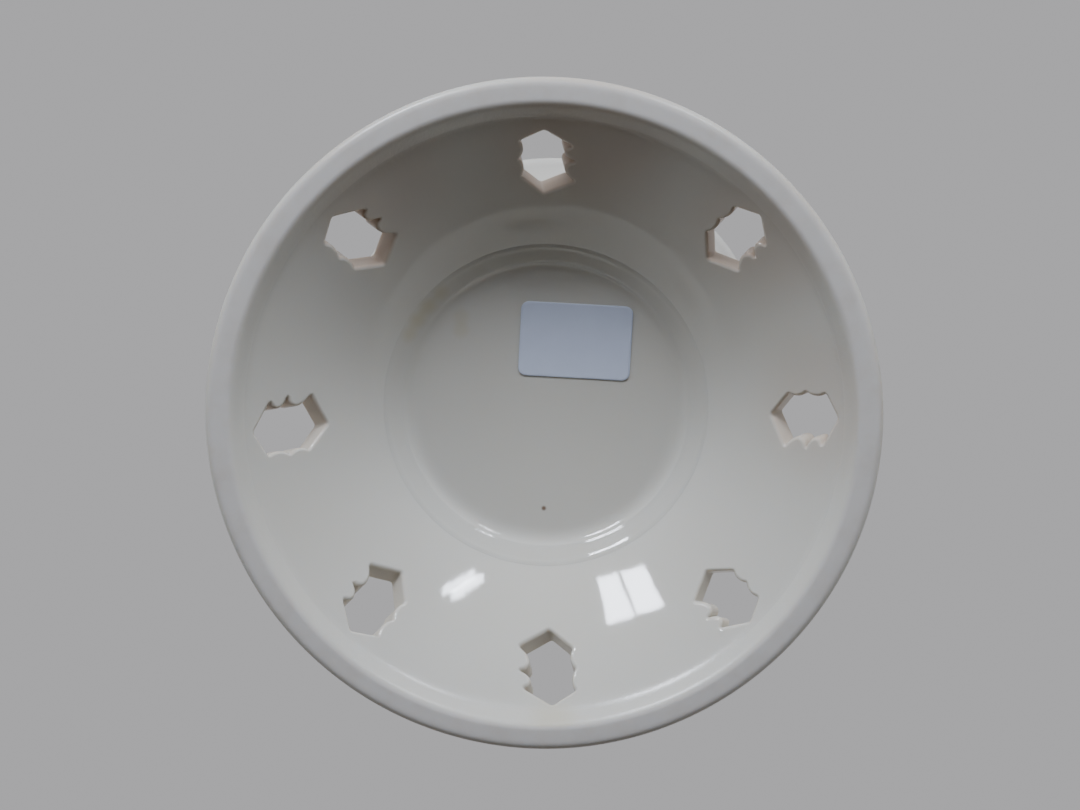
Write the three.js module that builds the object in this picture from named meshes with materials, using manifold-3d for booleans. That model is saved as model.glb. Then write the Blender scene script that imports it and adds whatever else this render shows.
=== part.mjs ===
// Votive candle holder of pierced porcelain: a flared skirt with holly-leaf cut-outs, a candle cup let
// into its neck on a seam of slip, a paper label under the cup, and the candle.
// Millimetres, +Z up. The origin is on the table under the middle of the foot rim.

import * as THREE from 'three';
import { mergeVertices, toCreasedNormals } from 'three/addons/utils/BufferGeometryUtils.js';
import Module from 'manifold-3d';

// Skirt
const base_diameter = 108;
const skirt_height = 22.6;
const skirt_wall = 3.7;
const neck_bore_diameter = 52.6;
const neck_bore_height = 2.6;

// Foot rim round the skirt's lower edge
const rim_width = 4.9;
const rim_height = 5;
const rim_side_height = 2.4;
const rim_outer_rounding = 1.6;
const rim_inner_rounding = 0.9;
const rim_top_inset = 1.8;
const rim_step_height = 2.6;
const rim_step_inset = 1.3;
const rim_blend = 2.6;

// Holly-leaf cut-outs
const leaf_count = 8;
const leaf_length = 13.1;
const leaf_deep_half_width = 5;
const leaf_shallow_half_width = 4.2;
const leaf_to_rim = 1.4;
const deep_scallop = 2.15;
const shallow_scallop = 0.65;

// Seam of slip between the skirt's neck and the cup's shoulder
const slip_thickness = 0.5;

// Candle cup
const overall_height = 64;
const mouth_diameter = 84.8;
const cup_wall = 3;
const cup_floor = 2.4;
const lip_height = 2.5;
const lip_flare = 0.6;
const foot_ring_depth = 2.2;
const foot_ring_height = 1.4;
const foot_ring_width = 2.6;
const foot_ring_rounding = 1.3;
const foot_ring_fillet = 0.5;

// Candle
const wax_bottom_diameter = 38;
const wax_top_diameter = 41;
const wax_height = 32;
const wax_bottom_rounding = 2;
const wax_top_rounding = 1.2;
const melt_dish_depth = 0.8;
const wick_diameter = 2;
const wick_above_wax = 6;
const sustainer_diameter = 16;
const sustainer_thickness = 0.4;
const crimp_height = 4;
const crimp_wall = 0.4;

// Price label
const label_length = 19.05;
const label_width = 12.7;
const label_thickness = 0.2;
const label_corner = 0.8;
const label_bearing = THREE.MathUtils.degToRad(-64.3);
const label_turn = THREE.MathUtils.degToRad(4);
const label_to_ring = 0.5;

// Clearances
const neck_clearance = 0.3;
const wick_clearance = 0.3;

// Fineness of the round forms
const turn_steps = 72;
const candle_steps = 36;
const wick_steps = 12;
const curve_steps = 4;

// Heights and radii that several pieces share
const base_radius = base_diameter / 2;
const neck_bore_radius = neck_bore_diameter / 2;
const slope_foot = new THREE.Vector2(base_radius - rim_width - rim_step_inset, rim_step_height);
const slope_head = new THREE.Vector2(neck_bore_radius, skirt_height - neck_bore_height);
const slope_way = slope_head.clone().sub(slope_foot).normalize();
const slope_out = new THREE.Vector2(slope_way.y, -slope_way.x);
const neck_radius = outer_slope_at_height(skirt_height).x;
const shoulder_height = skirt_height + slip_thickness;
const ring_radius = neck_bore_radius - neck_clearance;
const ring_inner_radius = ring_radius - foot_ring_width;
const ring_crest_height = shoulder_height - foot_ring_depth;
const disc_radius = ring_inner_radius - foot_ring_fillet;
const disc_height = ring_crest_height + foot_ring_height;
const floor_height = disc_height + cup_floor;

// Materials
const porcelain = new THREE.MeshStandardMaterial({ color: 0xe9e3d7, roughness: 0.16, metalness: 0 });
const slip = new THREE.MeshStandardMaterial({ color: 0xe5ded0, roughness: 0.2, metalness: 0 });
const paper = new THREE.MeshStandardMaterial({ color: 0xe6eaf4, roughness: 0.85, metalness: 0 });
const wax = new THREE.MeshStandardMaterial({ color: 0xf4ecd8, roughness: 0.45, metalness: 0 });
const cotton = new THREE.MeshStandardMaterial({ color: 0xe8e1d0, roughness: 0.95, metalness: 0 });
const tin = new THREE.MeshStandardMaterial({ color: 0xb8babd, roughness: 0.35, metalness: 1 });

// The point of the skirt's outer slope at a height. It runs one wall outside the inner slope.
function outer_slope_at_height(height) {
  const start = slope_foot.clone().addScaledVector(slope_out, skirt_wall);
  return start.addScaledVector(slope_way, (height - start.y) / slope_way.y);
}

// A ring or a bowl from a profile of radius and height, turned round the vertical axis.
function turned(points, steps) {
  return new THREE.LatheGeometry(points, steps).rotateX(Math.PI / 2);
}

// The points of a profile that closes on itself.
function closed_points(profile) {
  const points = profile.getPoints(curve_steps);
  if (!points.at(-1).equals(points[0])) {
    points.push(points[0].clone());
  }
  return points;
}

function skirt_profile() {
  const inner_radius = base_radius - rim_width;
  const blend_corner = outer_slope_at_height(rim_height);
  const blend_end = blend_corner.clone().addScaledVector(slope_way, rim_blend);
  const profile = new THREE.Path();
  profile.moveTo(inner_radius + rim_inner_rounding, 0);
  profile.lineTo(base_radius - rim_outer_rounding, 0);
  profile.quadraticCurveTo(base_radius, 0, base_radius, rim_outer_rounding);
  profile.lineTo(base_radius, rim_side_height);
  profile.quadraticCurveTo(base_radius, rim_height, base_radius - rim_top_inset, rim_height);
  profile.quadraticCurveTo(blend_corner.x, blend_corner.y, blend_end.x, blend_end.y);
  profile.lineTo(neck_radius, skirt_height);
  profile.lineTo(neck_bore_radius, skirt_height);
  profile.lineTo(slope_head.x, slope_head.y);
  profile.lineTo(slope_foot.x, slope_foot.y);
  profile.lineTo(inner_radius, rim_inner_rounding);
  profile.quadraticCurveTo(inner_radius, 0, inner_radius + rim_inner_rounding, 0);
  return closed_points(profile);
}

// One scallop of the leaf: the wall bulges into the opening between two of its points.
// A lean above zero pushes the bulge forward along the outline, and below zero back.
function add_scallop(outline, end, depth, lean) {
  const start = outline.currentPoint;
  const chord = end.clone().sub(start);
  const inward = new THREE.Vector2(-chord.y, chord.x).normalize();
  const reach = depth * 4 / 3;
  const first = start.clone().addScaledVector(chord, 0.2 + lean).addScaledVector(inward, reach);
  const second = end.clone().addScaledVector(chord, lean - 0.2).addScaledVector(inward, reach);
  outline.bezierCurveTo(first.x, first.y, second.x, second.y, end.x, end.y);
}

// The leaf lies along x from its inner tip, at the neck's side, to its outer tip at the rim's side.
// One long side has shallow scallops and the other has deep ones that lean towards the outer tip.
function leaf_outline() {
  const shallow_point = (along, out) =>
    new THREE.Vector2(along * leaf_length, -out * leaf_shallow_half_width);
  const deep_point = (along, out) =>
    new THREE.Vector2(along * leaf_length, out * leaf_deep_half_width);
  const outline = new THREE.Shape();
  const inner_tip = deep_point(0, 0.05);
  const outer_tip = shallow_point(1, 0.1);
  const first_shallow = shallow_point(0.27, 0.87);
  const first_deep = deep_point(0.79, 0.84);
  outline.moveTo(inner_tip.x, inner_tip.y);
  outline.lineTo(first_shallow.x, first_shallow.y);
  add_scallop(outline, shallow_point(0.53, 1), shallow_scallop, 0);
  add_scallop(outline, shallow_point(0.81, 1), shallow_scallop, 0);
  outline.lineTo(outer_tip.x, outer_tip.y);
  outline.lineTo(first_deep.x, first_deep.y);
  add_scallop(outline, deep_point(0.555, 1), deep_scallop * 0.85, -0.25);
  add_scallop(outline, deep_point(0.24, 1), deep_scallop, -0.3);
  outline.closePath();
  return outline;
}

// A prism of the leaf, square to the skirt's wall and passing right through it.
function leaf_cutter(bearing) {
  const overrun = skirt_wall / 2;
  const prism = new THREE.ExtrudeGeometry(leaf_outline(), {
    depth: skirt_wall + 2 * overrun,
    curveSegments: curve_steps,
    bevelEnabled: false,
  });
  const tip = slope_foot.clone().addScaledVector(slope_way, leaf_to_rim + leaf_length);
  const along = new THREE.Vector3(-slope_way.x, 0, -slope_way.y);
  const across = new THREE.Vector3(0, 1, 0);
  const through = new THREE.Vector3(slope_out.x, 0, slope_out.y);
  const placed = new THREE.Matrix4().makeBasis(along, across, through).setPosition(tip.x, 0, tip.y);
  prism.translate(0, 0, -overrun);
  prism.applyMatrix4(placed);
  return prism.rotateZ(bearing);
}

// A closed geometry as a solid that can be cut.
function to_solid(wasm, geometry) {
  const bare = geometry.clone();
  bare.deleteAttribute('normal');
  bare.deleteAttribute('uv');
  const merged = mergeVertices(bare, 1e-4);
  const vertProperties = new Float32Array(merged.attributes.position.array);
  const triVerts = new Uint32Array(merged.index.array);
  return new wasm.Manifold(new wasm.Mesh({ numProp: 3, vertProperties, triVerts }));
}

function to_geometry(solid) {
  const mesh = solid.getMesh();
  const geometry = new THREE.BufferGeometry();
  geometry.setAttribute('position', new THREE.BufferAttribute(mesh.vertProperties, 3));
  geometry.setIndex(new THREE.BufferAttribute(mesh.triVerts, 1));
  return toCreasedNormals(geometry, Math.PI / 6);
}

function pierced_skirt(wasm) {
  let solid = to_solid(wasm, turned(skirt_profile(), turn_steps));
  for (let i = 0; i < leaf_count; i += 1) {
    const bearing = i * 2 * Math.PI / leaf_count;
    solid = solid.subtract(to_solid(wasm, leaf_cutter(bearing)));
  }
  return to_geometry(solid);
}

// The seam fills the space between the two flat faces and stops short of the foot ring.
function slip_joint() {
  const profile = new THREE.Path();
  profile.moveTo(neck_bore_radius, skirt_height);
  profile.lineTo(neck_radius, skirt_height);
  profile.lineTo(neck_radius, shoulder_height);
  profile.lineTo(neck_bore_radius, shoulder_height);
  profile.lineTo(neck_bore_radius, skirt_height);
  return turned(closed_points(profile), turn_steps);
}

// The cup's outside, from the shoulder's edge to the foot of the lip.
function cup_outer_curve() {
  const lip_radius = mouth_diameter / 2 - lip_flare;
  const lip_foot = overall_height - lip_height;
  const rise = lip_foot - shoulder_height;
  const spread = lip_radius - neck_radius;
  return new THREE.CubicBezierCurve(
    new THREE.Vector2(neck_radius, shoulder_height),
    new THREE.Vector2(neck_radius + spread * 0.4, shoulder_height + rise * 0.11),
    new THREE.Vector2(neck_radius + spread * 0.75, shoulder_height + rise * 0.56),
    new THREE.Vector2(lip_radius, lip_foot),
  );
}

// The cup's inside: the outside moved in by the wall, from the mouth down to the floor's corner.
function cup_inner_points(outer) {
  const points = [];
  const steps = 2 * curve_steps;
  for (let i = steps; i >= 0; i -= 1) {
    const way = outer.getTangent(i / steps);
    const inward = new THREE.Vector2(-way.y, way.x).multiplyScalar(cup_wall);
    points.push(outer.getPoint(i / steps).add(inward));
  }
  return points;
}

function candle_cup() {
  const outer = cup_outer_curve();
  const inner = cup_inner_points(outer);
  const crest_radius = ring_inner_radius + foot_ring_width / 2;
  const mouth_radius = mouth_diameter / 2;
  const lip_rounding = cup_wall / 2;
  const profile = new THREE.Path();
  profile.moveTo(0, disc_height);
  profile.lineTo(disc_radius, disc_height);
  profile.bezierCurveTo(ring_inner_radius, disc_height, ring_inner_radius, ring_crest_height,
    crest_radius, ring_crest_height);
  profile.quadraticCurveTo(ring_radius, ring_crest_height, ring_radius,
    ring_crest_height + foot_ring_rounding);
  profile.lineTo(ring_radius, shoulder_height);
  profile.lineTo(neck_radius, shoulder_height);
  for (const point of outer.getPoints(2 * curve_steps)) {
    profile.lineTo(point.x, point.y);
  }
  profile.lineTo(mouth_radius, overall_height - lip_rounding);
  profile.absarc(mouth_radius - lip_rounding, overall_height - lip_rounding, lip_rounding, 0, Math.PI);
  for (const point of inner) {
    profile.lineTo(point.x, point.y);
  }

  // The wall runs on to the floor and turns into it with a curve as long on both sides of the corner
  const heel = inner.at(-1);
  const way = outer.getTangent(0);
  const run = (heel.y - floor_height) / way.y;
  const corner_radius = heel.x - way.x * run;
  profile.quadraticCurveTo(corner_radius, floor_height, corner_radius - run, floor_height);
  profile.lineTo(0, floor_height);
  return turned(profile.getPoints(curve_steps), turn_steps);
}

// Where the label's middle goes, so that its farthest corner stays just inside the foot ring.
function label_place() {
  const bearing = new THREE.Vector2(Math.cos(label_bearing), Math.sin(label_bearing));
  const limit = disc_radius - label_to_ring;
  let distance = limit;
  for (const [along, across] of [[1, 1], [1, -1], [-1, 1], [-1, -1]]) {
    const corner = new THREE.Vector2(along * label_length / 2, across * label_width / 2);
    corner.rotateAround(new THREE.Vector2(), label_turn);
    const lead = corner.dot(bearing);
    const reach = Math.sqrt(lead ** 2 - corner.lengthSq() + limit ** 2) - lead;
    distance = Math.min(distance, reach);
  }
  return bearing.multiplyScalar(distance);
}

function price_label() {
  const length = label_length / 2;
  const width = label_width / 2;
  const outline = new THREE.Shape();
  outline.absarc(length - label_corner, width - label_corner, label_corner, 0, Math.PI / 2);
  outline.absarc(label_corner - length, width - label_corner, label_corner, Math.PI / 2, Math.PI);
  outline.absarc(label_corner - length, label_corner - width, label_corner, Math.PI, Math.PI * 1.5);
  outline.absarc(length - label_corner, label_corner - width, label_corner, Math.PI * 1.5, Math.PI * 2);
  return new THREE.ExtrudeGeometry(outline, {
    depth: label_thickness,
    curveSegments: curve_steps,
    bevelEnabled: false,
  });
}

// The candle's pieces stand on the cup's floor, at height 0 of their own group.
const wick_hole_radius = wick_diameter / 2 + wick_clearance;
const crimp_radius = wick_hole_radius + crimp_wall;
const crimp_hole_radius = crimp_radius + wick_clearance;
const crimp_top = sustainer_thickness + crimp_height;
const wax_middle_height = wax_height - melt_dish_depth;

function candle_wax() {
  const bottom = wax_bottom_diameter / 2;
  const top = wax_top_diameter / 2;
  const recess = sustainer_diameter / 2 + wick_clearance;
  const profile = new THREE.Path();
  profile.moveTo(recess, 0);
  profile.lineTo(bottom - wax_bottom_rounding, 0);
  profile.quadraticCurveTo(bottom, 0, bottom, wax_bottom_rounding);
  profile.lineTo(top, wax_height - wax_top_rounding);
  profile.quadraticCurveTo(top, wax_height, top - wax_top_rounding, wax_height);
  profile.bezierCurveTo(top / 2, wax_height, top / 2, wax_middle_height, wick_hole_radius, wax_middle_height);
  profile.lineTo(wick_hole_radius, crimp_top + wick_clearance);
  profile.lineTo(crimp_hole_radius, crimp_top + wick_clearance);
  profile.lineTo(crimp_hole_radius, sustainer_thickness);
  profile.lineTo(recess, sustainer_thickness);
  profile.lineTo(recess, 0);
  return turned(closed_points(profile), candle_steps);
}

function wick_sustainer() {
  const edge = sustainer_diameter / 2;
  const profile = new THREE.Path();
  profile.moveTo(wick_hole_radius, 0);
  profile.lineTo(edge, 0);
  profile.lineTo(edge, sustainer_thickness);
  profile.lineTo(crimp_radius, sustainer_thickness);
  profile.lineTo(crimp_radius, crimp_top);
  profile.lineTo(wick_hole_radius, crimp_top);
  profile.lineTo(wick_hole_radius, 0);
  return turned(closed_points(profile), candle_steps);
}

function candle_wick() {
  const radius = wick_diameter / 2;
  const top = wax_middle_height + wick_above_wax;
  const profile = new THREE.Path();
  profile.moveTo(0, 0);
  profile.lineTo(radius, 0);
  profile.lineTo(radius, top - radius);
  profile.quadraticCurveTo(radius, top, 0, top);
  return turned(profile.getPoints(curve_steps), wick_steps);
}

function named_mesh(name, geometry, material) {
  const mesh = new THREE.Mesh(geometry, material);
  mesh.name = name;
  return mesh;
}

const wasm = await Module();
wasm.setup();

const holder = new THREE.Group();
holder.add(named_mesh('pierced_skirt', pierced_skirt(wasm), porcelain));
holder.add(named_mesh('slip_joint', slip_joint(), slip));
holder.add(named_mesh('candle_cup', candle_cup(), porcelain));

const label = named_mesh('price_label', price_label(), paper);
const label_middle = label_place();
label.position.set(label_middle.x, label_middle.y, disc_height - label_thickness);
label.rotation.z = label_turn;
holder.add(label);

const candle = new THREE.Group();
candle.position.z = floor_height;
candle.add(named_mesh('candle_wax', candle_wax(), wax));
candle.add(named_mesh('wick_sustainer', wick_sustainer(), tin));
candle.add(named_mesh('candle_wick', candle_wick(), cotton));
holder.add(candle);

export default holder;
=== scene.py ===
"""Pierced votive candle holder: glazed porcelain skirt and cup, slip seam, paper label and candle.

Everything is in metres, with +Z up and the origin on the table under the middle of the foot rim.
"""

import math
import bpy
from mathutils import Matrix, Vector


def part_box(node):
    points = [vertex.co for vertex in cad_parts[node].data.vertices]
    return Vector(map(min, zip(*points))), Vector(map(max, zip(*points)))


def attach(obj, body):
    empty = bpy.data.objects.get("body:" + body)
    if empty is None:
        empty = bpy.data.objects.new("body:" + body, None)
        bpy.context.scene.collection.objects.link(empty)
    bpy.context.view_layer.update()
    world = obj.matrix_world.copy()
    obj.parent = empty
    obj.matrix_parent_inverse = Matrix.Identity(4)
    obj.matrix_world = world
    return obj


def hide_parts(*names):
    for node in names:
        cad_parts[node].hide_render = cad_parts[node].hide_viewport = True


bl_info = {
    "name": "Pierced votive holder",
    "version": (1, 0, 0),
    "blender": (4, 5, 0),
    "location": "View3D > Sidebar > Votive",
    "description": "Builds a pierced porcelain votive candle holder round its packed frame",
    "category": "Add Mesh",
}

from collections import namedtuple

import bpy
import numpy as np
from bpy.props import FloatProperty, FloatVectorProperty, IntProperty, PointerProperty
from mathutils import Matrix, Vector
from mathutils.geometry import delaunay_2d_cdt

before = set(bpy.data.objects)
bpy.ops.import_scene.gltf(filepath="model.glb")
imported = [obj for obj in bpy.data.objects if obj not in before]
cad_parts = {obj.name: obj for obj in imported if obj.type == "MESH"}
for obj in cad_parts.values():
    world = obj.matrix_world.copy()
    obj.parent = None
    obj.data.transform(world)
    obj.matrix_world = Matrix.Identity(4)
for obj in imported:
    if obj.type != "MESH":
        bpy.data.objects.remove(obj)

MM = 0.001


def box_corners(node):
    """The lowest and the highest corner of a node's box in the frame."""
    return [Vector(corner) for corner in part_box(node)]


SKIRT_HIGH = box_corners("pierced_skirt")[1]
SEAM_LOW, SEAM_HIGH = box_corners("slip_joint")
CUP_LOW, CUP_HIGH = box_corners("candle_cup")
LABEL_LOW, LABEL_HIGH = box_corners("price_label")
WAX_LOW, WAX_HIGH = box_corners("candle_wax")
WICK_LOW, WICK_HIGH = box_corners("candle_wick")
TIN_LOW = box_corners("wick_sustainer")[0]

# Fineness: steps round each turned piece, and points round each leaf and the label
STEPS_PER_LEAF = 32
CUP_STEPS = 256
WAX_STEPS = 128
WICK_STEPS = 32
TIN_STEPS = 72
LEAF_POINTS = 220
LABEL_POINTS = 144


def linear(hex_colour):
    """An sRGB hex colour such as '#e9e3d7' as linear red, green and blue."""
    channels = [int(hex_colour[place:place + 2], 16) / 255 for place in (1, 3, 5)]
    return tuple(c / 12.92 if c <= 0.04045 else ((c + 0.055) / 1.055) ** 2.4 for c in channels)


def length(name, description, millimetres):
    """A length that the user can change, given here in millimetres."""
    return FloatProperty(name=name, description=description, default=millimetres * MM,
                         min=0.0, precision=5, unit="LENGTH")


def angle(name, description, degrees):
    """An angle that the user can change, given here in degrees."""
    return FloatProperty(name=name, description=description, default=math.radians(degrees),
                         unit="ROTATION")


def colour(name, description, hex_colour):
    """A colour that the user can change, given here as an sRGB hex value."""
    return FloatVectorProperty(name=name, description=description, default=linear(hex_colour),
                               min=0.0, max=1.0, size=3, subtype="COLOR")


class SkirtSizes(bpy.types.PropertyGroup):
    """Sizes of the flared skirt and its foot rim."""
    wall: length("Wall", "Thickness of the slope, square to it", 3.7)
    bore_radius: length("Neck bore", "Radius of the bore that takes the foot ring", 26.3)
    bore_height: length("Bore height", "Height of the bore's straight wall", 2.6)
    rim_width: length("Rim width", "From the rim's inner to its outer wall", 4.9)
    rim_height: length("Rim height", "Top of the rim outside", 5.0)
    rim_side: length("Rim side", "Height where the rim's top starts to round", 2.4)
    rim_outer_rounding: length("Outer rounding", "Rounding of the rim's outer lower edge", 1.6)
    rim_inner_rounding: length("Inner rounding", "Rounding of the rim's inner lower edge", 0.9)
    rim_top_inset: length("Top inset", "How far in the rim's top reaches before the slope", 1.8)
    step_height: length("Step height", "Height of the rim's steeper inner wall", 2.6)
    step_inset: length("Step inset", "How far in the steeper wall leans", 1.3)
    blend: length("Blend", "Length of the blend from the rim's top to the slope", 2.6)
    flare: length("Flare", "How far the slope bows into the hollow, as a trumpet's bell does", 0.6)


class LeafSizes(bpy.types.PropertyGroup):
    """Sizes of the holly-leaf cut-outs."""
    count: IntProperty(name="Leaves", description="Cut-outs round the skirt", default=8, min=3)
    reach: length("Length", "From the leaf's inner tip to its outer tip", 13.1)
    deep_half: length("Deep half", "Half width on the side with deep scallops", 5.0)
    shallow_half: length("Shallow half", "Half width on the side with shallow scallops", 4.2)
    to_rim: length("Leaf to rim", "From the outer tip to the foot of the slope", 1.4)
    deep_scallop: length("Deep scallop", "Depth of the deep scallops", 1.75)
    shallow_scallop: length("Shallow scallop", "Depth of the shallow scallops", 0.65)
    inner_rounding: length("Inner edge", "Glaze-softened rounding of the edge inside the skirt", 0.6)
    outer_rounding: length("Outer edge", "Glaze-softened rounding of the edge outside", 0.5)
    corner_softness: length("Corner softness", "How far glaze softens the leaf's corners", 0.26)


class CupSizes(bpy.types.PropertyGroup):
    """Sizes of the candle cup and of the seam that holds it."""
    wall: length("Wall", "Thickness of the cup's wall", 3.0)
    floor: length("Floor", "Thickness of the cup's floor", 2.4)
    lip_height: length("Lip height", "Height of the turned-out lip", 2.5)
    lip_flare: length("Lip flare", "How far the lip turns out", 0.6)
    ring_height: length("Ring height", "How far the foot ring stands out of the disc", 1.4)
    clearance: length("Clearance", "Gap between the foot ring and the neck's bore", 0.3)
    crest_inset: length("Crest inset", "From the foot ring's outside in to its crest line", 1.55)
    crest_drop: length("Crest drop", "From the disc down to the crest line", 1.25)
    cove: length("Cove", "Reach of the curve from the disc to the crest line", 3.25)
    waist_fillet: length("Waist fillet", "Reach of the slip's fillet outside", 2.0)
    seam_reach: length("Seam reach", "How far the slip runs down the slope from its head", 1.7)
    seam_bead: length("Seam bead", "Height of the bead where the slip ends", 0.02)


class LabelSizes(bpy.types.PropertyGroup):
    """Sizes of the price label."""
    length: length("Length", "Long side of the label", 19.05)
    width: length("Width", "Short side of the label", 12.7)
    corner: length("Corner", "Rounding of the die-cut corners", 1.3)
    turn: angle("Turn", "How far the long side is turned from +X", 4.0)
    lift: length("Lift", "How far the corners have come away from the glaze", 0.08)


class CandleSizes(bpy.types.PropertyGroup):
    """Sizes of the candle that the cup holds."""
    foot_radius: length("Foot radius", "Radius of the wax at its foot", 19.0)
    bottom_rounding: length("Bottom rounding", "Rounding of the wax's lower edge", 2.0)
    top_rounding: length("Top rounding", "Rounding of the wax's upper edge", 1.2)
    dish: length("Dish", "How far the wax dips towards the wick", 0.8)
    climb: length("Climb", "How far the wax climbs up the wick", 0.5)
    wick_radius: length("Wick radius", "Radius over the braid", 1.0)
    wick_lean: length("Wick lean", "How far the wick's tip leans over", 0.4)
    tin_edge: length("Sustainer radius", "Radius of the wick sustainer's disc", 8.0)
    tin_sheet: length("Sheet", "Thickness of the tinned sheet", 0.4)
    tin_height: length("Sustainer height", "Height of the disc and its crimped neck", 4.4)


class CameraSizes(bpy.types.PropertyGroup):
    """Where the photograph was taken from."""
    lens: length("Lens", "Focal length on a 36 mm wide sensor", 56.8)
    distance: length("Distance", "From the camera to the foot rim's plane along the view", 270)
    right: length("Right", "How far right of the view's middle the foot rim's centre lies", 0.30)
    down: length("Down", "How far below the view's middle the foot rim's centre lies", 2.75)
    tilt: angle("Tilt", "How far the holder's axis tips up in the picture", 7.4)
    yaw: angle("Yaw", "How far the holder's axis tips right in the picture", 1.9)
    roll: angle("Roll", "Turn of the holder about its own axis", -1.0)


class HolderColours(bpy.types.PropertyGroup):
    """Colours of the finishes."""
    porcelain: colour("Porcelain", "Bone-white porcelain under clear glaze", "#d6d5cd")
    porcelain_warm: colour("Warm porcelain", "The same where the body shows warmer", "#d5d1c4")
    bare_foot: colour("Bare foot", "Wiped, unglazed porcelain of the foot rim", "#d5d2cc")
    foot_dirt: colour("Foot dirt", "Shelf dirt rubbed into the bare foot", "#bfb5a6")
    cut_wall: colour("Cut wall", "Thick glaze on the walls of the cut-outs", "#d3cdbf")
    # The same brown also paints warm shade inside the foot rim, on the side that faces away from the light
    tea_stain_and_warm_shade: colour("Tea stain", "Brown stain that has crept under the glaze of the cut walls", "#b3937a")
    yellowing: colour("Yellowing", "Yellowed glaze where it lies thick", "#cabf96")
    speck: colour("Speck", "Iron speck burnt through the glaze", "#6a4a2c")
    paper: colour("Label paper", "White sticker paper", "#d9e2f5")
    wax: colour("Wax", "Paraffin wax", "#f3ead8")
    wax_deep: colour("Deep wax", "Paraffin wax where it set more slowly", "#ebdfc6")
    cotton: colour("Cotton", "Waxed cotton wick", "#efe8d8")
    # Painted shade between the plies of the wick
    cotton_painted_shade: colour("Cotton shade", "Waxed cotton between the plies", "#cbbf9f")
    tin: colour("Tin", "Tinned steel sheet", "#c9cacc")
    floor: colour("Floor", "Pale studio floor", "#d9d8d6")


SETTINGS = {
    "votive_skirt": SkirtSizes,
    "votive_leaf": LeafSizes,
    "votive_cup": CupSizes,
    "votive_label": LabelSizes,
    "votive_candle": CandleSizes,
    "votive_camera": CameraSizes,
    "votive_colours": HolderColours,
}


# Outlines and profiles

def straight(start, end, step):
    """Points from start to end, both included, about a step apart."""
    start, end = np.array(start), np.array(end)
    count = max(1, round(float(np.linalg.norm(end - start)) / step))
    return start + (end - start) * np.linspace(0, 1, count + 1)[:, None]


def bend(start, corner, end, count=6):
    """Points of a curve from start to end that is drawn to a corner."""
    start, corner, end = np.array(start), np.array(corner), np.array(end)
    t = np.linspace(0, 1, count + 1)[:, None]
    return start * (1 - t) ** 2 + corner * 2 * t * (1 - t) + end * t ** 2


def swing(start, first, second, end, count=16):
    """Points of a cubic curve from start to end with two handles."""
    start, first, second, end = (np.array(point) for point in (start, first, second, end))
    t = np.linspace(0, 1, count + 1)[:, None]
    return (start * (1 - t) ** 3 + first * 3 * t * (1 - t) ** 2
            + second * 3 * t ** 2 * (1 - t) + end * t ** 3)


def toward(start, end, reach):
    """The point at a distance from start on the way to end."""
    start, end = np.array(start), np.array(end)
    return start + (end - start) * reach / np.linalg.norm(end - start)


class Pen:
    """Draws a line of points, each stretch from where the last one ended."""

    def __init__(self, start):
        self.points = np.array([start], dtype=float)

    def last(self):
        """The number of the last point."""
        return len(self.points) - 1

    def add(self, stretch):
        """Goes on along a stretch of points, without doubling the point where it starts."""
        same = np.allclose(stretch[0], self.points[-1], atol=1e-9)
        self.points = np.vstack([self.points, stretch[1:] if same else stretch])

    def line(self, end, step):
        """Goes on straight to the end."""
        self.add(straight(self.points[-1], end, step))

    def bend(self, corner, end, count):
        """Goes on to the end in a curve that is drawn to a corner."""
        self.add(bend(self.points[-1], corner, end, count))

    def swing(self, first, second, end, count):
        """Goes on to the end in a cubic curve with two handles."""
        self.add(swing(self.points[-1], first, second, end, count))


def line_normals(points):
    """Unit normals to the right of a closed line of points, which is outward on the lines here."""
    way = np.roll(points, -1, axis=0) - np.roll(points, 1, axis=0)
    way /= np.linalg.norm(way, axis=1)[:, None]
    return np.stack([way[:, 1], -way[:, 0]], axis=1)


def turned_round(pairs, bearings):
    """Radius and height pairs turned to each bearing, as an array of rings of points."""
    radii, heights = pairs[:, 0][:, None], pairs[:, 1][:, None]
    flat = np.broadcast_to(heights, (len(pairs), len(bearings)))
    return np.stack([radii * np.cos(bearings), radii * np.sin(bearings), flat], axis=2)


def ring_faces(rings, steps, closed, skip=()):
    """Quads between rings of points. skip holds the (ring, step) cells that are left open."""
    faces = []
    for ring in range(rings if closed else rings - 1):
        above = (ring + 1) % rings
        for step in range(steps):
            if (ring, step) in skip:
                continue
            after = (step + 1) % steps
            faces.append((ring * steps + step, ring * steps + after,
                          above * steps + after, above * steps + step))
    return faces


def new_piece(name, points, faces, body, material, normals=None):
    """A smooth mesh piece that rides on a body and wears a material, with exact normals if given."""
    mesh = bpy.data.meshes.new(name)
    mesh.from_pydata([tuple(point) for point in points], [], faces)
    mesh.polygons.foreach_set("use_smooth", [True] * len(mesh.polygons))
    if normals is not None:
        mesh.normals_split_custom_set_from_vertices([tuple(normal) for normal in normals])
    mesh.materials.append(material)
    mesh.update()
    piece = bpy.data.objects.new(name, mesh)
    bpy.context.scene.collection.objects.link(piece)
    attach(piece, body)
    return piece


def capped_faces(rings, steps):
    """Faces of a stack of rings that one point closes below and another above."""
    faces = ring_faces(rings, steps, False)
    low, high = rings * steps, rings * steps + 1
    last = (rings - 1) * steps
    for step in range(steps):
        after = (step + 1) % steps
        faces.append((low, after, step))
        faces.append((high, last + step, last + after))
    return faces


def turned_mesh(profile, steps, closed):
    """Points and faces of a turned piece. An open profile starts and ends on the axis."""
    bearings = np.arange(steps) * 2 * math.pi / steps
    if closed:
        return turned_round(profile, bearings).reshape(-1, 3), ring_faces(len(profile), steps, True)
    inside = profile[1:-1]
    ends = [[0, 0, profile[0, 1]], [0, 0, profile[-1, 1]]]
    points = np.vstack([turned_round(inside, bearings).reshape(-1, 3), ends])
    return points, capped_faces(len(inside), steps)


# The skirt

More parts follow.
